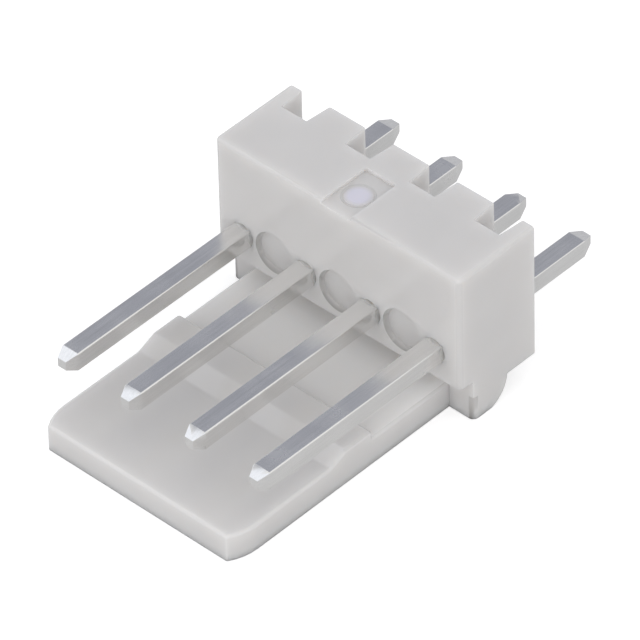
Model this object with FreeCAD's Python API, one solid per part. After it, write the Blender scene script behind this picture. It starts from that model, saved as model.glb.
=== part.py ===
import FreeCAD, Part
import math
import os

# Straight board header with a friction lock wall, lying on its lock wall.
# X runs along the row of pins. Y runs from the mating tips (-Y) to the solder tails (+Y).
# Z runs up from the flat outer face of the lock wall. All lengths are in millimetres.
# While a piece is drawn, y = 0 is the front face of the block; place() then moves it so
# that the origin is under the middle of the whole part.

# Contact pins
CIRCUITS = 4
PITCH = 2.54
PIN_SIDE = 0.64
PIN_EDGE_ROUND = 0.05
PIN_AXIS_HEIGHT = 2.56
MATING_REACH = 7.62
MATING_TAPER = 0.39
TAIL_REACH = 3.38
TAIL_TAPER = 0.47
TIP_SIDE = 0.32

# Block that carries the pins
END_MARGIN = 1.02
BLOCK_DEPTH = 3.27
BLOCK_TOP_HEIGHT = 5.76
BACK_UNDERSIDE_HEIGHT = 0.89
FRONT_CORNER_ROUND = 0.18
BLOCK_EDGE_ROUND = 0.12
STANDOFF_CORNER_ROUND = 0.07
STANDOFF_EDGE_ROUND = 0.05

# Notches in the back that leave the standoffs between them
NOTCH_MOUTH = 1.10
NOTCH_ROOT = 0.95
NOTCH_DEPTH = 0.93

# Lock wall and the rib that roots it
LOCK_THICKNESS = 0.96
LOCK_REACH = 8.56
LOCK_INSET = 0.97
LOCK_CORNER_LENGTH = 0.97
LOCK_CORNER_WIDTH = 0.30
LOCK_CORNER_EDGE_ROUND = 0.08
LOCK_EDGE_ROUND = 0.10
LOCK_GAP = 0.60
RIB_SETBACK = 0.57
RIB_DEPTH = 1.47
RIB_BACK_RADIUS = 1.00
RIB_BELLY_CUT = 0.05
RIB_FRONT_ROUND = 0.20
GAP_CORNER_ROUND = 0.10

# Ramp on the lock wall that the plug's latch rides over
RAMP_STEP = 2.71
RAMP_HEIGHT = 0.29
RAMP_FLAT = 1.09
RAMP_SLOPE_RUN = 0.68
RAMP_STEP_ROUND = 0.11
RAMP_FOOT_ROUND = 0.06
RAMP_SLOPE_ROUND = 0.30

# Details of the block's faces
PIN_BORE_CLEARANCE = 0.10
PIN_BORE_DEPTH = 0.10
DIMPLE_RADIUS = 0.74
DIMPLE_DEPTH = 0.16
DIMPLE_DRAFT = 0.08
POCKET_WIDTH = 1.20
POCKET_LENGTH = 1.95
POCKET_DEPTH = 0.13
POCKET_CORNER_ROUND = 0.10
GATE_SETBACK = 0.98
GATE_DISH_RADIUS = 0.54
GATE_DISH_DEPTH = 0.03
GATE_MARK_RADIUS = 0.45
GATE_MARK_HEIGHT = 0.03

# Largest share of a wall that a round may take, and of a corner's round that its rim may take
WALL_SHARE = 0.4
RIM_SHARE = 0.8

# Extra length of a cutting tool past the face that it opens, and the slack of a search
OVERCUT = 1.0
NEAR = 1e-4

# Sizes that follow from the ones above
HALF_LENGTH = (CIRCUITS - 1) * PITCH / 2 + END_MARGIN
LOCK_HALF_WIDTH = HALF_LENGTH - LOCK_INSET
FRONT_UNDERSIDE_HEIGHT = LOCK_THICKNESS + LOCK_GAP
RIB_BACK = RIB_SETBACK + RIB_DEPTH
FRONT_END = max(LOCK_REACH, MATING_REACH)
BACK_END = BLOCK_DEPTH + TAIL_REACH
SHIFT_Y = (FRONT_END - BACK_END) / 2


def vec(x, y, z):
    return FreeCAD.Vector(x, y, z)


def place(shape):
    """Move a finished shape from the drawing place to the part's own frame."""
    moved = shape.copy()
    moved.translate(vec(0, SHIFT_Y, 0))
    return moved


def pin_positions():
    """The x of each pin, from the left end to the right."""
    first = -(CIRCUITS - 1) * PITCH / 2
    return [first + index * PITCH for index in range(CIRCUITS)]


def between_positions():
    """The x of each middle between two neighbouring pins."""
    return [x + PITCH / 2 for x in pin_positions()[:-1]]


def block_box(x_min, x_max, y_min, y_max, z_min, z_max):
    return Part.makeBox(x_max - x_min, y_max - y_min, z_max - z_min, vec(x_min, y_min, z_min))


def side_prism(edges, half_width):
    """Extrude a closed side profile, drawn at x = 0, to both sides of it."""
    face = Part.Face(Part.Wire(edges))
    face.translate(vec(-half_width, 0, 0))
    return face.extrude(vec(2 * half_width, 0, 0))


def round_corners(points, radii):
    """Edges of a closed polygon with each corner replaced by an arc; a radius of 0 keeps it."""
    count = len(points)
    starts, ends, arcs = [], [], []
    for index, (corner, radius) in enumerate(zip(points, radii)):
        back = (points[index - 1] - corner).normalize()
        ahead = (points[(index + 1) % count] - corner).normalize()
        if radius == 0:
            starts.append(corner)
            ends.append(corner)
            arcs.append(None)
            continue
        half_angle = back.getAngle(ahead) / 2
        setback = radius / math.tan(half_angle)
        bisector = (back + ahead).normalize()
        middle = corner + bisector * (radius / math.sin(half_angle) - radius)
        start, end = corner + back * setback, corner + ahead * setback
        starts.append(start)
        ends.append(end)
        arcs.append(Part.Arc(start, middle, end).toShape())
    edges = []
    for index in range(count):
        if arcs[index] is not None:
            edges.append(arcs[index])
        following = (index + 1) % count
        if (starts[following] - ends[index]).Length > NEAR:
            edges.append(Part.makeLine(ends[index], starts[following]))
    return edges


def edges_where(shape, test):
    """Edges whose whole bounding box passes a test."""
    return [edge for edge in shape.Edges if test(edge.BoundBox)]


def is_at(low, high, value):
    return abs(low - value) < NEAR and abs(high - value) < NEAR


def is_vertical(box):
    return box.ZLength > NEAR and box.XLength < NEAR and box.YLength < NEAR


def limited(radius, wall):
    """A round never takes more than its share of a thin wall."""
    return min(radius, wall * WALL_SHARE)


def notch(x):
    """Cutter for one notch: wide at its mouth, narrower at its root, open at top and bottom."""
    root = BLOCK_DEPTH - NOTCH_DEPTH
    flare = (NOTCH_MOUTH - NOTCH_ROOT) / 2 * (OVERCUT / NOTCH_DEPTH)
    mouth_half = NOTCH_MOUTH / 2 + flare
    outline = [
        vec(x - NOTCH_ROOT / 2, root, 0), vec(x + NOTCH_ROOT / 2, root, 0),
        vec(x + mouth_half, BLOCK_DEPTH + OVERCUT, 0), vec(x - mouth_half, BLOCK_DEPTH + OVERCUT, 0),
    ]
    face = Part.Face(Part.makePolygon(outline + outline[:1]))
    return face.extrude(vec(0, 0, BLOCK_TOP_HEIGHT + OVERCUT))


def notched_block():
    """The block with its notches, its upright corners and its top and bottom edges rounded."""
    block = block_box(-HALF_LENGTH, HALF_LENGTH, 0, BLOCK_DEPTH, BACK_UNDERSIDE_HEIGHT, BLOCK_TOP_HEIGHT)
    for x in pin_positions():
        block = block.cut(notch(x))
    end_wall = HALF_LENGTH - (CIRCUITS - 1) * PITCH / 2 - NOTCH_MOUTH / 2
    front = edges_where(block, lambda b: is_vertical(b) and is_at(b.YMin, b.YMax, 0))
    block = block.makeFillet(FRONT_CORNER_ROUND, front)
    outer = edges_where(block, lambda b: is_at(b.ZMin, b.ZMax, BLOCK_TOP_HEIGHT)
                        and (b.YMin < FRONT_CORNER_ROUND - NEAR or is_at(b.XMin, b.XMax, HALF_LENGTH)
                             or is_at(b.XMin, b.XMax, -HALF_LENGTH)))
    block = block.makeFillet(BLOCK_EDGE_ROUND, outer)
    corners = edges_where(block, lambda b: is_vertical(b) and is_at(b.YMin, b.YMax, BLOCK_DEPTH))
    corner_round = limited(STANDOFF_CORNER_ROUND, end_wall)
    block = block.makeFillet(corner_round, corners)
    rims = edges_where(block, lambda b: is_at(b.ZMin, b.ZMax, BLOCK_TOP_HEIGHT)
                       and b.YMax > BLOCK_DEPTH - NOTCH_DEPTH - NEAR and b.YMin > BLOCK_EDGE_ROUND + NEAR)
    return block.makeFillet(min(STANDOFF_EDGE_ROUND, corner_round * RIM_SHARE), rims)


def gap_cutter():
    """Space under the block's front, between it and the lock wall, with a rounded inner corner."""
    points = [
        vec(0, -OVERCUT, -OVERCUT), vec(0, RIB_SETBACK, -OVERCUT),
        vec(0, RIB_SETBACK, FRONT_UNDERSIDE_HEIGHT), vec(0, -OVERCUT, FRONT_UNDERSIDE_HEIGHT),
    ]
    return side_prism(round_corners(points, [0, 0, GAP_CORNER_ROUND, 0]), HALF_LENGTH + OVERCUT)


def root_rib():
    """Rib along the block's whole length that joins it to the lock wall.

    Its back is a large round, whose lowest part is cut flat so that the rib stands on a clear edge.
    """
    top = FRONT_UNDERSIDE_HEIGHT + GAP_CORNER_ROUND
    centre = vec(0, RIB_BACK - RIB_BACK_RADIUS, RIB_BACK_RADIUS - RIB_BELLY_CUT)
    first_angle = math.acos(centre.z / RIB_BACK_RADIUS)
    middle_angle = (first_angle + math.pi / 2) / 2
    start, middle = (centre + vec(0, math.sin(angle), -math.cos(angle)) * RIB_BACK_RADIUS
                     for angle in (first_angle, middle_angle))
    end = vec(0, RIB_BACK, centre.z)
    profile = [
        Part.makeLine(vec(0, RIB_SETBACK, top), vec(0, RIB_SETBACK, 0)),
        Part.makeLine(vec(0, RIB_SETBACK, 0), start),
        Part.Arc(start, middle, end).toShape(),
        Part.makeLine(end, vec(0, RIB_BACK, top)),
        Part.makeLine(vec(0, RIB_BACK, top), vec(0, RIB_SETBACK, top)),
    ]
    rib = side_prism(profile, HALF_LENGTH)
    return rib.makeFillet(RIB_FRONT_ROUND, edges_where(rib, lambda b: is_vertical(b) and b.YMax < RIB_BACK))


def corner_arc(side):
    """Arc of one free corner, seen from above: it leaves the side face smoothly and ends in a clear edge."""
    length, width = LOCK_CORNER_LENGTH, LOCK_CORNER_WIDTH
    radius = (length ** 2 + width ** 2) / (2 * width)
    half_turn = math.asin(length / radius) / 2
    start = vec(side * LOCK_HALF_WIDTH, length - LOCK_REACH, 0)
    middle = start + vec(side * radius * (math.cos(half_turn) - 1), -radius * math.sin(half_turn), 0)
    return Part.Arc(start, middle, vec(side * (LOCK_HALF_WIDTH - width), -LOCK_REACH, 0)).toShape()


def lock_outline(inner_end, height):
    """Prism of the lock wall's outline seen from above, with its two free corners turned in."""
    right, left = corner_arc(1), corner_arc(-1)
    right_root, left_root = vec(LOCK_HALF_WIDTH, inner_end, 0), vec(-LOCK_HALF_WIDTH, inner_end, 0)
    right_start, right_end = (vertex.Point for vertex in right.Vertexes)
    left_start, left_end = (vertex.Point for vertex in left.Vertexes)
    edges = [
        Part.makeLine(left_root, right_root), Part.makeLine(right_root, right_start), right,
        Part.makeLine(right_end, left_end), left, Part.makeLine(left_start, left_root),
    ]
    return Part.Face(Part.Wire(Part.__sortEdges__(edges))).extrude(vec(0, 0, height))


def lock_wall():
    """Lock wall with its ramp in one profile, turned-in free corners and softened upper edges."""
    top, crest = LOCK_THICKNESS, LOCK_THICKNESS + RAMP_HEIGHT
    inner_end = RIB_SETBACK + RIB_FRONT_ROUND
    slope_top = -(RAMP_STEP + RAMP_FLAT)
    slope_foot = slope_top - RAMP_SLOPE_RUN
    points = [
        vec(0, inner_end, 0), vec(0, inner_end, top),
        vec(0, -RAMP_STEP, top), vec(0, -RAMP_STEP, crest),
        vec(0, slope_top, crest), vec(0, slope_foot, top),
        vec(0, -LOCK_REACH, top), vec(0, -LOCK_REACH, 0),
    ]
    radii = [0, 0, RAMP_FOOT_ROUND, RAMP_STEP_ROUND, RAMP_SLOPE_ROUND, RAMP_SLOPE_ROUND, 0, 0]
    wall = side_prism(round_corners(points, radii), LOCK_HALF_WIDTH).common(lock_outline(inner_end, crest))
    corners = edges_where(wall, lambda b: is_vertical(b) and is_at(b.YMin, b.YMax, -LOCK_REACH))
    wall = wall.makeFillet(LOCK_CORNER_EDGE_ROUND, corners)
    rims = edges_where(wall, lambda b: not is_vertical(b) and b.ZMin > NEAR and b.YMin < inner_end - NEAR
                       and (b.XLength < NEAR or b.YMin < -LOCK_REACH + LOCK_CORNER_LENGTH - NEAR))
    return wall.makeFillet(LOCK_EDGE_ROUND, rims)


def dimple(x):
    """Blind round dimple in the front face between two pins, with a drafted wall and a flat floor."""
    return Part.makeCone(DIMPLE_RADIUS, DIMPLE_RADIUS - DIMPLE_DRAFT, DIMPLE_DEPTH,
                         vec(x, 0, PIN_AXIS_HEIGHT), vec(0, 1, 0))


def pin_passage(x):
    """Square hole that grips the pin, line to line, and the round bore round it at the front."""
    half = PIN_SIDE / 2
    grip = block_box(x - half, x + half, -OVERCUT, BLOCK_DEPTH + OVERCUT,
                     PIN_AXIS_HEIGHT - half, PIN_AXIS_HEIGHT + half)
    bore = Part.makeCylinder(half + PIN_BORE_CLEARANCE, PIN_BORE_DEPTH + OVERCUT,
                             vec(x, -OVERCUT, PIN_AXIS_HEIGHT), vec(0, 1, 0))
    return grip.fuse(bore)


def gate_pocket():
    """Shallow pocket in the top face, open at the front, where the moulding gate was."""
    floor = BLOCK_TOP_HEIGHT - POCKET_DEPTH
    half = POCKET_WIDTH / 2
    pocket = block_box(-half, half, -OVERCUT, POCKET_LENGTH, floor, BLOCK_TOP_HEIGHT + OVERCUT)
    corners = edges_where(pocket, lambda b: is_vertical(b) and is_at(b.YMin, b.YMax, POCKET_LENGTH))
    return pocket.makeFillet(POCKET_CORNER_ROUND, corners)


def with_gate_mark(housing):
    """The dish that the gate left in the pocket's floor, with the small mark that stands in it."""
    floor = BLOCK_TOP_HEIGHT - POCKET_DEPTH
    dish = Part.makeCone(GATE_DISH_RADIUS - GATE_DISH_DEPTH, GATE_DISH_RADIUS, GATE_DISH_DEPTH,
                         vec(0, GATE_SETBACK, floor - GATE_DISH_DEPTH))
    mark = Part.makeCone(GATE_MARK_RADIUS, GATE_MARK_RADIUS - GATE_MARK_HEIGHT / 2,
                         GATE_MARK_HEIGHT + GATE_DISH_DEPTH,
                         vec(0, GATE_SETBACK, floor - 2 * GATE_DISH_DEPTH))
    return housing.cut(dish).fuse(mark)


def housing():
    """The one moulding: block, rib and lock wall, with its holes, dimples and gate pocket."""
    body = notched_block().cut(gap_cutter()).fuse([root_rib(), lock_wall()]).removeSplitter()
    cutters = [pin_passage(x) for x in pin_positions()] + [dimple(x) for x in between_positions()]
    body = body.cut(cutters + [gate_pocket()])
    return with_gate_mark(body)


def pin_taper(x, y_root, y_tip):
    """Four-sided taper from the pin's full section at its root to the small flat of its tip."""
    length = abs(y_tip - y_root)
    root, tip = PIN_SIDE / 2, TIP_SIDE / 2
    taper = Part.makeWedge(-root, 0, -root, -tip, -tip, root, length, root, tip, tip)
    if y_tip < y_root:
        taper.rotate(vec(0, 0, 0), vec(0, 0, 1), 180)
    taper.translate(vec(x, y_root, PIN_AXIS_HEIGHT))
    return taper


def contact_pin(x):
    """Square pin with softened long edges and a four-sided taper, cut into it, at each end."""
    front, back = -MATING_REACH, BLOCK_DEPTH + TAIL_REACH
    taper_front, taper_back = front + MATING_TAPER, back - TAIL_TAPER
    half = PIN_SIDE / 2
    low, high = PIN_AXIS_HEIGHT - half, PIN_AXIS_HEIGHT + half
    bar = block_box(x - half, x + half, front, back, low, high)
    bar = bar.makeFillet(PIN_EDGE_ROUND, edges_where(bar, lambda b: b.YLength > NEAR))
    middle = block_box(x - half, x + half, taper_front, taper_back, low, high)
    envelope = middle.fuse([pin_taper(x, taper_front, front), pin_taper(x, taper_back, back)])
    return bar.common(envelope.removeSplitter()).removeSplitter()


def main():
    os.makedirs("parts", exist_ok=True)
    place(housing()).exportStep("parts/housing.step")
    for number, x in enumerate(pin_positions(), start=1):
        place(contact_pin(x)).exportStep(f"parts/contact_pin_{number}.step")


main()
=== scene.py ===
"""Studio scene of a straight board header with a friction lock wall and four square pins."""
from __future__ import annotations

import logging
import math
from collections.abc import Callable
from dataclasses import dataclass
from enum import Enum

import bmesh
import bpy
from mathutils import Matrix, Vector


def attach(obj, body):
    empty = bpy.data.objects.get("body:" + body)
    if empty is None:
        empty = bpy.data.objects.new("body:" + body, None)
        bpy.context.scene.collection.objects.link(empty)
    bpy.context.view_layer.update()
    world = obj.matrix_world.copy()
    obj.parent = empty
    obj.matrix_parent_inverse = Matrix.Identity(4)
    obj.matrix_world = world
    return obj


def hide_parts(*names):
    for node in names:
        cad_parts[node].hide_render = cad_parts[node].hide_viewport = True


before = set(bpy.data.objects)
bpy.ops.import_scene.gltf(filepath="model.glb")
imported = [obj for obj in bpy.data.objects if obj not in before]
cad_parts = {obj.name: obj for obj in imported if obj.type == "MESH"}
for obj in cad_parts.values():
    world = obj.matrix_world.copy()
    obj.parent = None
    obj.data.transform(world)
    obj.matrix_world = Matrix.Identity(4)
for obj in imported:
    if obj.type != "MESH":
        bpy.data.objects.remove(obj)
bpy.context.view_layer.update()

LOG = logging.getLogger("header_scene")
MM = 0.001
NEAR = 0.01 * MM
WELD_DISTANCE = 1e-7
FLAT_ANGLE = 0.6
Colour = tuple[float, float, float]
Point = tuple[float, float, float]
Span = tuple[float, float]


class Slot(Enum):
    """Names of the material slots for the two finishes, which nothing here reads."""

    MOULDING = "moulding"
    TIN = "tinned_metal"


class Mark(Enum):
    """Values stored on the housing's mesh, which its finish reads."""

    EDGE = "edge_round"
    WALL = "wall_face"
    RIM_SHADE = "dimple_rim"
    BORE = "pin_bore"


def rgba(colour: Colour) -> tuple[float, float, float, float]:
    """Return a colour with full opacity."""
    return (*colour, 1.0)


def shade(colour: Colour, factor: float) -> Colour:
    """Return a colour made lighter or darker by a factor."""
    return tuple(part * factor for part in colour)


class Nodes:
    """Short hand for filling one node tree."""

    def __init__(self, tree: bpy.types.NodeTree) -> None:
        """Keep the tree that the nodes go into."""
        self.tree = tree

    def add(self, kind: str, **values: object) -> bpy.types.Node:
        """Add a node and set its plain properties.

        Args:
            kind: Blender's name of the node type.
            **values: property names and their values.

        Returns:
            The new node.
        """
        node = self.tree.nodes.new(kind)
        for name, value in values.items():
            setattr(node, name, value)
        return node

    def join(self, source: bpy.types.NodeSocket, target: bpy.types.NodeSocket) -> None:
        """Link one socket to another."""
        self.tree.links.new(source, target)

    def feed(self, node: bpy.types.Node, **inputs: object) -> bpy.types.Node:
        """Set or link inputs by name, with underscores for blanks.

        Args:
            node: the node to feed.
            **inputs: input names with sockets to link or values to set.

        Returns:
            The same node.
        """
        for name, value in inputs.items():
            socket = node.inputs[name.replace("_", " ")]
            if isinstance(value, bpy.types.NodeSocket):
                self.join(value, socket)
            else:
                socket.default_value = value
        return node

    def math(self, operation: str, first: object, second: object = 0.0) -> bpy.types.NodeSocket:
        """Add one Math node.

        Args:
            operation: Blender's name of the operation.
            first: socket or number for the first input.
            second: socket or number for the second input.

        Returns:
            The node's output socket.
        """
        node = self.add("ShaderNodeMath", operation=operation)
        for socket, value in zip(node.inputs, (first, second)):
            if isinstance(value, bpy.types.NodeSocket):
                self.join(value, socket)
            else:
                socket.default_value = float(value)
        return node.outputs[0]

    def span(self, value: bpy.types.NodeSocket, low: float, high: float,
             to_low: float, to_high: float) -> bpy.types.NodeSocket:
        """Map a value's range onto another and clamp it.

        Args:
            value: the socket to map.
            low: input that gives to_low.
            high: input that gives to_high.
            to_low: lowest output.
            to_high: highest output.

        Returns:
            The mapped output socket.
        """
        node = self.add("ShaderNodeMapRange")
        self.join(value, node.inputs["Value"])
        limits = {"From Min": low, "From Max": high, "To Min": to_low, "To Max": to_high}
        for name, number in limits.items():
            node.inputs[name].default_value = number
        return node.outputs["Result"]

    def in_millimetres(self, place: bpy.types.NodeSocket) -> bpy.types.NodeSocket:
        """Turn a position in metres into one in millimetres.

        Args:
            place: the position's socket.

        Returns:
            The scaled position's socket.
        """
        node = self.add("ShaderNodeVectorMath", operation="SCALE")
        self.join(place, node.inputs[0])
        node.inputs["Scale"].default_value = 1.0 / MM
        return node.outputs[0]

    def stored(self, mark: Mark) -> bpy.types.NodeSocket:
        """Read a value that the mesh stores.

        Args:
            mark: which value.

        Returns:
            The value's socket.
        """
        return self.add("ShaderNodeAttribute", attribute_name=mark.value).outputs["Fac"]

    def blend(self, factor: object, first: object, second: object) -> bpy.types.NodeSocket:
        """Mix two colours.

        Args:
            factor: socket or number, 0 for the first colour.
            first: socket or colour.
            second: socket or colour.

        Returns:
            The mixed colour's socket.
        """
        node = self.add("ShaderNodeMix", data_type="RGBA")
        colours = [socket for socket in node.inputs if socket.type == "RGBA"]
        for socket, value in zip([node.inputs[0], *colours], (factor, first, second)):
            if isinstance(value, bpy.types.NodeSocket):
                self.join(value, socket)
            elif isinstance(value, (int, float)):
                socket.default_value = value
            else:
                socket.default_value = rgba(value)
        return next(socket for socket in node.outputs if socket.type == "RGBA")


def make_group(name: str, inputs: dict[str, float],
               outputs: tuple[str, ...]) -> tuple[Nodes, bpy.types.Node, bpy.types.Node]:
    """Start a shader node group that reads Object coordinates and puts out values.

    Args:
        name: the group's name.
        inputs: names and default values of its float inputs.
        outputs: names of its float outputs.

    Returns:
        The tree's helper, its input node and its output node.
    """
    tree = bpy.data.node_groups.new(name, "ShaderNodeTree")
    tree.interface.new_socket("Vector", in_out="INPUT", socket_type="NodeSocketVector")
    for label, value in inputs.items():
        socket = tree.interface.new_socket(label, in_out="INPUT", socket_type="NodeSocketFloat")
        socket.default_value = value
    for label in outputs:
        tree.interface.new_socket(label, in_out="OUTPUT", socket_type="NodeSocketFloat")
    kit = Nodes(tree)
    return kit, kit.add("NodeGroupInput"), kit.add("NodeGroupOutput")


class Effects:
    """Surface effects that several finishes share, each a node group built once."""

    def __init__(self) -> None:
        """Build the groups."""
        self.skin = self._skin()
        self.drawn = self._drawn()

    @staticmethod
    def _skin() -> bpy.types.NodeTree:
        """Return the fine grain and slow mottle of a smooth skin, sized in millimetres."""
        kit, source, sink = make_group(
            "smooth_skin", {"Grain Scale": 18.0, "Mottle Scale": 0.9}, ("Grain", "Mottle"))
        place = kit.in_millimetres(source.outputs["Vector"])
        for label, detail, target in (("Grain Scale", 2.0, "Grain"), ("Mottle Scale", 1.0, "Mottle")):
            noise = kit.add("ShaderNodeTexNoise")
            kit.feed(noise, Vector=place, Scale=source.outputs[label], Detail=detail)
            kit.join(noise.outputs[0], sink.inputs[target])
        return kit.tree

    @staticmethod
    def _drawn() -> bpy.types.NodeTree:
        """Return the fine lines that drawing a wire leaves along its length, which is Y."""
        kit, source, sink = make_group(
            "drawn_lines", {"Line Scale": 22.0, "Stretch": 0.03}, ("Lines", "Cloud"))
        place = kit.in_millimetres(source.outputs["Vector"])
        parts = kit.add("ShaderNodeSeparateXYZ")
        kit.join(place, parts.inputs[0])
        squeezed = kit.add("ShaderNodeCombineXYZ")
        kit.join(parts.outputs["X"], squeezed.inputs["X"])
        kit.join(kit.math("MULTIPLY", parts.outputs["Y"], source.outputs["Stretch"]), squeezed.inputs["Y"])
        kit.join(parts.outputs["Z"], squeezed.inputs["Z"])
        lines = kit.add("ShaderNodeTexNoise")
        kit.feed(lines, Vector=squeezed.outputs[0], Scale=source.outputs["Line Scale"], Detail=2.0)
        kit.join(lines.outputs[0], sink.inputs["Lines"])
        cloud = kit.add("ShaderNodeTexNoise")
        kit.feed(cloud, Vector=place, Scale=0.8, Detail=3.0)
        kit.join(cloud.outputs[0], sink.inputs["Cloud"])
        return kit.tree


def new_material(name: str) -> tuple[bpy.types.Material, Nodes, bpy.types.Node]:
    """Start a material that holds one Principled shader.

    Args:
        name: the material's name.

    Returns:
        The material, its tree's helper and the shader node.
    """
    material = bpy.data.materials.new(name)
    material.use_nodes = True
    kit = Nodes(material.node_tree)
    return material, kit, material.node_tree.nodes["Principled BSDF"]


@dataclass(frozen=True)
class NaturalPlastic:
    """Semi-gloss natural plastic of the moulding.

    Args:
        colour: main colour.
        tone_swing: how far the mottle lightens and darkens it.
        mottle_span: range of the mottle that is used.
        mottle_scale: how fine the mottle is, to a millimetre.
        grain_scale: how fine the skin's grain is, to a millimetre.
        edge_painted_shade: painted shade on the block's rounded edges, a little darker than the walls,
            which damps their highlights.
        thin_wall_painted_light: painted light on the thin lock wall beside the block, lightest towards the
            block where it would lie in shade, standing for light that comes through the wall.
        thin_wall_light_span: where along Y that painted light starts, and where it is strongest.
        rim_painted_shade: painted shade on the steep rims of the dimples, where little light comes out.
        bore_painted_light: painted light in the shallow bores round the pins, standing for light that
            comes through there.
        gate_painted_highlight: painted highlight on the polished mark that the gate left, lighter and
            bluer than the skin, while the mark's lower roughness is its real gloss.
        gate_centre: middle of that mark.
        gate_core: radius inside which the mark is fully polished.
        gate_radius: radius at which the polish has faded.
        gate_gloss: how much smoother that mark is than the skin.
        roughness: middle roughness.
        roughness_swing: how far the mottle lowers and raises it.
        grain_height: depth of the skin's grain in metres.
        wave_height: depth of the skin's slow waves in metres.
        refraction: index of refraction.
        translucency: share of the light that goes through the surface.
        light_reach: how far that light spreads in metres.
        light_shares: shares of that reach for red, green and blue.
    """

    colour: Colour = (0.685, 0.675, 0.671)
    tone_swing: float = 0.02
    mottle_span: Span = (0.2, 0.8)
    mottle_scale: float = 0.55
    grain_scale: float = 16.0
    edge_painted_shade: Colour = (0.630, 0.621, 0.617)
    thin_wall_painted_light: Colour = (0.870, 0.860, 0.850)
    thin_wall_light_span: Span = (-3.2 * MM, 0.4 * MM)
    rim_painted_shade: Colour = (0.40, 0.395, 0.385)
    bore_painted_light: Colour = (0.94, 0.93, 0.92)
    gate_painted_highlight: Colour = (0.740, 0.730, 0.815)
    gate_centre: Point = (0.0, 1.935 * MM, 5.63 * MM)
    gate_core: float = 0.28 * MM
    gate_radius: float = 0.46 * MM
    gate_gloss: float = 0.10
    roughness: float = 0.19
    roughness_swing: float = 0.05
    grain_height: float = 1.0e-6
    wave_height: float = 0.5e-6
    refraction: float = 1.53
    translucency: float = 0.85
    light_reach: float = 0.9 * MM
    light_shares: Colour = (1.0, 0.95, 0.9)

    def material(self, effects: Effects) -> bpy.types.Material:
        """Build the material.

        Args:
            effects: the shared node groups.

        Returns:
            The material.
        """
        material, kit, shader = new_material("natural_plastic")
        place = kit.add("ShaderNodeTexCoord").outputs["Object"]
        skin = kit.add("ShaderNodeGroup", node_tree=effects.skin)
        kit.feed(skin, Vector=place, Grain_Scale=self.grain_scale, Mottle_Scale=self.mottle_scale)
        mottle = skin.outputs["Mottle"]
        gate = self._gate_mask(kit, place)
        kit.join(self._mottle_with_painted_light(kit, place, mottle, gate), shader.inputs["Base Color"])
        dull = kit.span(mottle, *self.mottle_span, self.roughness - self.roughness_swing,
                        self.roughness + self.roughness_swing)
        kit.join(kit.math("SUBTRACT", dull, kit.math("MULTIPLY", gate, self.gate_gloss)),
                 shader.inputs["Roughness"])
        wave = kit.add("ShaderNodeBump")
        kit.feed(wave, Strength=1.0, Distance=self.wave_height, Height=mottle)
        grain = kit.add("ShaderNodeBump")
        kit.feed(grain, Strength=1.0, Distance=self.grain_height, Height=skin.outputs["Grain"],
                 Normal=wave.outputs[0])
        kit.join(grain.outputs[0], shader.inputs["Normal"])
        shader.inputs["IOR"].default_value = self.refraction
        shader.inputs["Subsurface Weight"].default_value = self.translucency
        shader.inputs["Subsurface Radius"].default_value = self.light_shares
        shader.inputs["Subsurface Scale"].default_value = self.light_reach
        return material

    def _gate_mask(self, kit: Nodes, place: bpy.types.NodeSocket) -> bpy.types.NodeSocket:
        """Mask the polished mark of the gate.

        Args:
            kit: the material's helper.
            place: socket of the Object coordinates.

        Returns:
            The mask's socket, 1 on the mark.
        """
        away = kit.add("ShaderNodeVectorMath", operation="DISTANCE")
        kit.join(place, away.inputs[0])
        away.inputs[1].default_value = self.gate_centre
        return kit.span(away.outputs["Value"], self.gate_core, self.gate_radius, 1.0, 0.0)

    def _mottle_with_painted_light(self, kit: Nodes, place: bpy.types.NodeSocket, mottle: bpy.types.NodeSocket,
               gate: bpy.types.NodeSocket) -> bpy.types.NodeSocket:
        """Lay the painted shade, painted light and painted highlight of the marked places over the mottled
        main colour.

        Args:
            kit: the material's helper.
            place: socket of the Object coordinates.
            mottle: socket of the mottle.
            gate: socket of the gate's mask.

        Returns:
            The colour's socket.
        """
        colour = kit.blend(kit.span(mottle, *self.mottle_span, 0.0, 1.0),
                           shade(self.colour, 1.0 - self.tone_swing),
                           shade(self.colour, 1.0 + self.tone_swing))
        parts = kit.add("ShaderNodeSeparateXYZ")
        kit.join(place, parts.inputs[0])
        along = kit.span(parts.outputs["Y"], *self.thin_wall_light_span, 0.0, 1.0)
        # Layers: painted shade on the rounded edges, painted light on the thin wall, painted shade on the
        # dimple rims, painted light in the bores, and a painted highlight on the gate's mark.
        layers = (
            (kit.stored(Mark.EDGE), self.edge_painted_shade),
            (kit.math("MULTIPLY", along, kit.stored(Mark.WALL)), self.thin_wall_painted_light),
            (kit.stored(Mark.RIM_SHADE), self.rim_painted_shade),
            (kit.stored(Mark.BORE), self.bore_painted_light),
            (gate, self.gate_painted_highlight),
        )
        for mask, tone in layers:
            colour = kit.blend(mask, colour, tone)
        return colour


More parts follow.
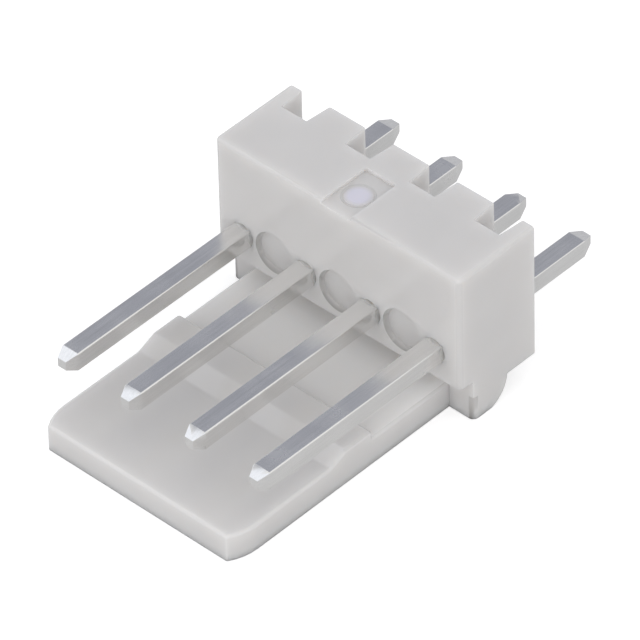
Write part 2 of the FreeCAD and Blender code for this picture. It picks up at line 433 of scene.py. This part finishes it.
@dataclass(frozen=True)
class TinPlate:
    """Bright tin plate of the pins.

    Args:
        colour: colour of the metal.
        dark_share: how bright its dark places are beside it.
        cloud_share: share of the slow clouds in that tone, the rest being the lines.
        tone_span: range of the tone that is used.
        line_scale: how fine the drawing lines are across the pin, to a millimetre.
        stretch: share of that fineness along the pin.
        line_height: depth of the lines in metres.
        roughness: middle roughness.
        roughness_fall: how far the clouds lower it.
        roughness_rise: how far they raise it.
        cloud_span: range of the clouds that is used for it.
    """

    colour: Colour = (0.865, 0.86, 0.85)
    dark_share: float = 0.92
    cloud_share: float = 0.4
    tone_span: Span = (0.35, 0.65)
    line_scale: float = 13.0
    stretch: float = 0.035
    line_height: float = 0.9e-6
    roughness: float = 0.20
    roughness_fall: float = 0.04
    roughness_rise: float = 0.08
    cloud_span: Span = (0.3, 0.7)

    def material(self, effects: Effects) -> bpy.types.Material:
        """Build the material.

        Args:
            effects: the shared node groups.

        Returns:
            The material.
        """
        material, kit, shader = new_material("tin_plate")
        place = kit.add("ShaderNodeTexCoord").outputs["Object"]
        drawn = kit.add("ShaderNodeGroup", node_tree=effects.drawn)
        kit.feed(drawn, Vector=place, Line_Scale=self.line_scale, Stretch=self.stretch)
        tone = kit.math("ADD", kit.math("MULTIPLY", drawn.outputs["Cloud"], self.cloud_share),
                        kit.math("MULTIPLY", drawn.outputs["Lines"], 1.0 - self.cloud_share))
        colour = kit.blend(kit.span(tone, *self.tone_span, 0.0, 1.0),
                           shade(self.colour, self.dark_share), self.colour)
        kit.join(colour, shader.inputs["Base Color"])
        dull = kit.span(drawn.outputs["Cloud"], *self.cloud_span, self.roughness - self.roughness_fall,
                        self.roughness + self.roughness_rise)
        kit.join(dull, shader.inputs["Roughness"])
        shader.inputs["Metallic"].default_value = 1.0
        bump = kit.add("ShaderNodeBump")
        kit.feed(bump, Strength=1.0, Distance=self.line_height, Height=drawn.outputs["Lines"])
        kit.join(bump.outputs[0], shader.inputs["Normal"])
        return material


def merged_copy(node: str, name: str, smooth_angle: float) -> bpy.types.Object:
    """Copy a CAD node's mesh, join its loose triangles and shade its rounds smooth.

    Args:
        node: name of the CAD node.
        name: name of the new piece.
        smooth_angle: widest angle in degrees that is still shaded smooth.

    Returns:
        The new piece, at the origin and unturned.
    """
    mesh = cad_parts[node].data.copy()
    mesh.name = name
    mesh.materials.clear()
    build = bmesh.new()
    build.from_mesh(mesh)
    bmesh.ops.remove_doubles(build, verts=build.verts, dist=WELD_DISTANCE)
    bmesh.ops.dissolve_limit(build, angle_limit=math.radians(FLAT_ANGLE), use_dissolve_boundaries=False,
                             verts=build.verts, edges=build.edges, delimit=set())
    for face in build.faces:
        face.smooth = True
    build.to_mesh(mesh)
    build.free()
    mesh.set_sharp_from_angle(angle=math.radians(smooth_angle))
    piece = bpy.data.objects.new(name, mesh)
    bpy.context.scene.collection.objects.link(piece)
    return piece


def mark_faces(mesh: bpy.types.Mesh, mark: Mark,
               belongs: Callable[[bpy.types.Mesh, bpy.types.MeshPolygon], bool]) -> None:
    """Store on each face whether it belongs to one kind of surface.

    Args:
        mesh: the mesh to mark.
        mark: which value to store.
        belongs: tells of the mesh and a face whether the face belongs.
    """
    layer = mesh.attributes.new(mark.value, "FLOAT", "FACE")
    for polygon, value in zip(mesh.polygons, layer.data):
        value.value = float(belongs(mesh, polygon))


def weigh_normals(piece: bpy.types.Object) -> None:
    """Let each flat wall keep its own normal beside the rounds."""
    modifier = piece.modifiers.new("weighted_normals", "WEIGHTED_NORMAL")
    modifier.keep_sharp = True
    modifier.weight = 100


def install(piece: bpy.types.Object, node: str, material: bpy.types.Material) -> None:
    """Give a piece its material and its body, and hide the CAD node that it stands for.

    Args:
        piece: the new piece.
        node: the CAD node that it replaces.
        material: the piece's material.
    """
    piece.data.materials.append(material)
    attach(piece, "root")
    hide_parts(node)
    LOG.info("piece %s: %d faces", piece.name, len(piece.data.polygons))


@dataclass
class MouldedHousing:
    """Block, root rib and lock wall, one moulding.

    Args:
        smooth_angle: widest angle in degrees that is still shaded smooth.
        edge_lowest: height under which no rounded edge is marked.
        edge_lean: a face whose normal keeps closer than this to an axis is no rounded edge.
        edge_area: largest area of a rounded edge's face, in square metres.
        wall_span: heights between which the lock wall's inner face lies.
        wall_lean: how closely that face looks up.
        front_face: where along Y the block's front face lies.
        dimple_depth: depth of the blind dimples.
        pin_places: where the pins stand along X.
        pin_height: height of the pins' axes.
        bore_radius: radius of the shallow bores round the pins.
        bore_depth: depth of those bores.
    """

    smooth_angle: float = 28.0
    edge_lowest: float = 1.2 * MM
    edge_lean: float = 0.995
    edge_area: float = 0.25 * MM * MM
    wall_span: Span = (0.9 * MM, 1.2 * MM)
    wall_lean: float = 0.99
    front_face: float = 0.955 * MM
    dimple_depth: float = 0.16 * MM
    pin_places: tuple[float, ...] = (-3.81 * MM, -1.27 * MM, 1.27 * MM, 3.81 * MM)
    pin_height: float = 2.56 * MM
    bore_radius: float = 0.46 * MM
    bore_depth: float = 0.10 * MM

    def build(self, plastic: bpy.types.Material) -> None:
        """Build the housing's piece.

        Args:
            plastic: the piece's material.
        """
        piece = merged_copy("housing", "moulded_housing", self.smooth_angle)
        mark_faces(piece.data, Mark.EDGE, self._is_edge)
        mark_faces(piece.data, Mark.WALL, self._is_wall)
        self._paint_dimple_rim_shade(piece.data)
        mark_faces(piece.data, Mark.BORE, self._is_bore)
        weigh_normals(piece)
        install(piece, "housing", plastic)

    def _is_edge(self, mesh: bpy.types.Mesh, face: bpy.types.MeshPolygon) -> bool:
        """Tell whether a face belongs to a rounded edge of the block."""
        leans = max(abs(component) for component in face.normal) < self.edge_lean
        return leans and face.area < self.edge_area and face.center.z > self.edge_lowest

    def _is_wall(self, mesh: bpy.types.Mesh, face: bpy.types.MeshPolygon) -> bool:
        """Tell whether a face belongs to the inner face of the lock wall."""
        return face.normal.z > self.wall_lean and self.wall_span[0] < face.center.z < self.wall_span[1]

    def _is_bore(self, mesh: bpy.types.Mesh, face: bpy.types.MeshPolygon) -> bool:
        """Tell whether a face belongs to a shallow bore round a pin."""
        points = [mesh.vertices[index].co for index in face.vertices]
        depths = [point.y - self.front_face for point in points]
        deep = min(depths) > -NEAR and self.bore_depth / 2 < max(depths) < self.bore_depth + NEAR
        return deep and all(self._from_pin(point) < self.bore_radius + NEAR for point in points)

    def _from_pin(self, point: Vector) -> float:
        """Return how far a point lies from the nearest pin's axis."""
        return min(math.hypot(point.x - x, point.z - self.pin_height) for x in self.pin_places)

    def _paint_dimple_rim_shade(self, mesh: bpy.types.Mesh) -> None:
        """Store the painted shade of the steep rims of the dimples, darkest at their mouths.

        Args:
            mesh: the mesh to mark.
        """
        layer = mesh.attributes.new(Mark.RIM_SHADE.value, "FLOAT", "CORNER")
        for face in mesh.polygons:
            depths = [mesh.vertices[index].co.y - self.front_face for index in face.vertices]
            reaches = min(depths) > -NEAR and abs(max(depths) - self.dimple_depth) < NEAR
            if reaches and max(depths) - min(depths) > self.dimple_depth / 2:
                for corner, depth in zip(face.loop_indices, depths):
                    layer.data[corner].value = 1.0 - depth / self.dimple_depth


@dataclass
class ContactRow:
    """The row of square pins.

    Args:
        count: how many pins there are.
        smooth_angle: widest angle in degrees that is still shaded smooth.
    """

    count: int = 4
    smooth_angle: float = 20.0

    def build(self, tin: bpy.types.Material) -> None:
        """Build one piece for each pin.

        Args:
            tin: the pins' material.
        """
        for number in range(1, self.count + 1):
            piece = merged_copy(f"contact_pin_{number}", f"square_pin_{number}", self.smooth_angle)
            weigh_normals(piece)
            install(piece, f"contact_pin_{number}", tin)


@dataclass
class Studio:
    """Pale floor, one soft lamp, plain surround and the camera of the photograph.

    Args:
        floor_half: half the floor's side.
        floor_height: height of the floor, a little under the part's lowest face.
        floor_glow: light that the camera sees on it beyond what falls on it.
        mirrored_glow: the same for what mirrors it.
        floor_colour: its colour.
        floor_roughness: its roughness.
        lamp_place: where the lamp hangs, facing the origin.
        lamp_size: length of its side.
        lamp_watts: its power.
        bright_sky: colour of the surround.
        dim_sky: colour of its dimmer patch, which the tops of the pins mirror.
        dim_side: direction of that patch.
        dim_span: how closely a direction keeps to it where the patch starts, and where it is full.
        panel_sky: colour of the brighter patch, which the tops of the tips mirror.
        panel_side: direction of that patch.
        panel_span: the same two values for it.
        azimuth: the camera's angle round Z from -Y, in degrees.
        elevation: its angle above the floor, in degrees.
        roll: its turn about its own axis, in degrees.
        distance: how far it stands from the target.
        lens: its focal length in millimetres.
        sensor: width of its sensor in millimetres.
        clip_span: nearest and farthest distance that it shows.
        target: the point that it faces before the offset.
        offset: its shift to the right and up.
    """

    floor_half: float = 0.6
    floor_height: float = -0.01 * MM
    floor_glow: float = 0.55
    mirrored_glow: float = 0.02
    floor_colour: Colour = (0.70, 0.70, 0.70)
    floor_roughness: float = 0.9
    lamp_place: Point = (0.13, -0.27, 0.045)
    lamp_size: float = 0.20
    lamp_watts: float = 0.165
    bright_sky: Colour = (0.940, 0.937, 0.935)
    dim_sky: Colour = (0.360, 0.372, 0.420)
    dim_side: Point = (-0.52, 0.62, 0.58)
    dim_span: Span = (0.83, 0.93)
    panel_sky: Colour = (1.03, 1.065, 1.14)
    panel_side: Point = (-0.519, -0.082, 0.849)
    panel_span: Span = (0.93, 0.97)
    azimuth: float = 43.98
    elevation: float = 41.617
    roll: float = -1.509
    distance: float = 251.91 * MM
    lens: float = 487.1
    sensor: float = 36.0
    clip_span: Span = (0.01, 10.0)
    target: Point = (0.0, -0.545 * MM, 2.56 * MM)
    offset: tuple[float, float] = (0.513 * MM, -0.0748 * MM)

    def build(self) -> None:
        """Build floor, surround, lamp and camera."""
        self._floor()
        self._surround()
        self._lamp()
        self._camera()
        bpy.context.scene.view_settings.view_transform = "Standard"

    def _floor(self) -> None:
        """Lay the pale floor, which keeps the object's shadow."""
        build = bmesh.new()
        bmesh.ops.create_grid(build, x_segments=1, y_segments=1, size=self.floor_half)
        bmesh.ops.translate(build, verts=build.verts, vec=(0.0, 0.0, self.floor_height))
        mesh = bpy.data.meshes.new("floor")
        build.to_mesh(mesh)
        build.free()
        floor = bpy.data.objects.new("floor", mesh)
        bpy.context.scene.collection.objects.link(floor)
        material, kit, shader = new_material("pale_floor")
        shader.inputs["Base Color"].default_value = rgba(self.floor_colour)
        shader.inputs["Roughness"].default_value = self.floor_roughness
        shader.inputs["Specular IOR Level"].default_value = 0.0
        path = kit.add("ShaderNodeLightPath")
        mirrored = kit.math("ADD", path.outputs["Is Glossy Ray"], path.outputs["Is Transmission Ray"])
        glow = kit.math("ADD", kit.math("MULTIPLY", path.outputs["Is Camera Ray"], self.floor_glow),
                        kit.math("MULTIPLY", mirrored, self.mirrored_glow))
        shader.inputs["Emission Color"].default_value = rgba((1.0, 1.0, 1.0))
        kit.join(glow, shader.inputs["Emission Strength"])
        mesh.materials.append(material)

    def _surround(self) -> None:
        """Fill the world with plain soft light that has one dimmer and one brighter patch."""
        world = bpy.data.worlds.new("surround")
        bpy.context.scene.world = world
        world.use_nodes = True
        kit = Nodes(world.node_tree)
        background = world.node_tree.nodes["Background"]
        direction = kit.add("ShaderNodeTexCoord").outputs["Generated"]
        sky = self.bright_sky
        for colour, side, span in ((self.dim_sky, self.dim_side, self.dim_span),
                                   (self.panel_sky, self.panel_side, self.panel_span)):
            facing = kit.add("ShaderNodeVectorMath", operation="DOT_PRODUCT")
            kit.join(direction, facing.inputs[0])
            facing.inputs[1].default_value = Vector(side).normalized()
            sky = kit.blend(kit.span(facing.outputs["Value"], *span, 0.0, 1.0), sky, colour)
        kit.join(sky, background.inputs["Color"])
        background.inputs["Strength"].default_value = 1.0

    def _lamp(self) -> None:
        """Hang the one lamp, a large soft panel low in front of the mating side."""
        data = bpy.data.lights.new("main_lamp", "AREA")
        data.shape = "SQUARE"
        data.size = self.lamp_size
        data.energy = self.lamp_watts
        lamp = bpy.data.objects.new("main_lamp", data)
        place = Vector(self.lamp_place)
        turn = place.to_track_quat("Z", "Y").to_matrix().to_4x4()
        lamp.matrix_world = Matrix.Translation(place) @ turn
        bpy.context.scene.collection.objects.link(lamp)

    def _camera(self) -> None:
        """Set the camera at the photograph's place."""
        azimuth, elevation = math.radians(self.azimuth), math.radians(self.elevation)
        back = Vector((math.sin(azimuth) * math.cos(elevation), -math.cos(azimuth) * math.cos(elevation),
                       math.sin(elevation)))
        right = Vector((math.cos(azimuth), math.sin(azimuth), 0.0))
        above = back.cross(right)
        tilt = math.radians(self.roll)
        side = right * math.cos(tilt) + above * math.sin(tilt)
        up = above * math.cos(tilt) - right * math.sin(tilt)
        data = bpy.data.cameras.new("photo_camera")
        data.sensor_width = self.sensor
        data.lens = self.lens
        data.clip_start, data.clip_end = self.clip_span
        camera = bpy.data.objects.new("photo_camera", data)
        place = Vector(self.target) + side * self.offset[0] + up * self.offset[1] + back * self.distance
        camera.matrix_world = Matrix.Translation(place) @ Matrix((side, up, back)).transposed().to_4x4()
        bpy.context.scene.collection.objects.link(camera)
        bpy.context.scene.camera = camera


def main() -> None:
    """Build every sub-assembly in order."""
    logging.basicConfig(level=logging.INFO, format="%(name)s %(message)s")
    effects = Effects()
    MouldedHousing().build(NaturalPlastic().material(effects))
    ContactRow().build(TinPlate().material(effects))
    Studio().build()


if __name__ == "__main__":
    main()
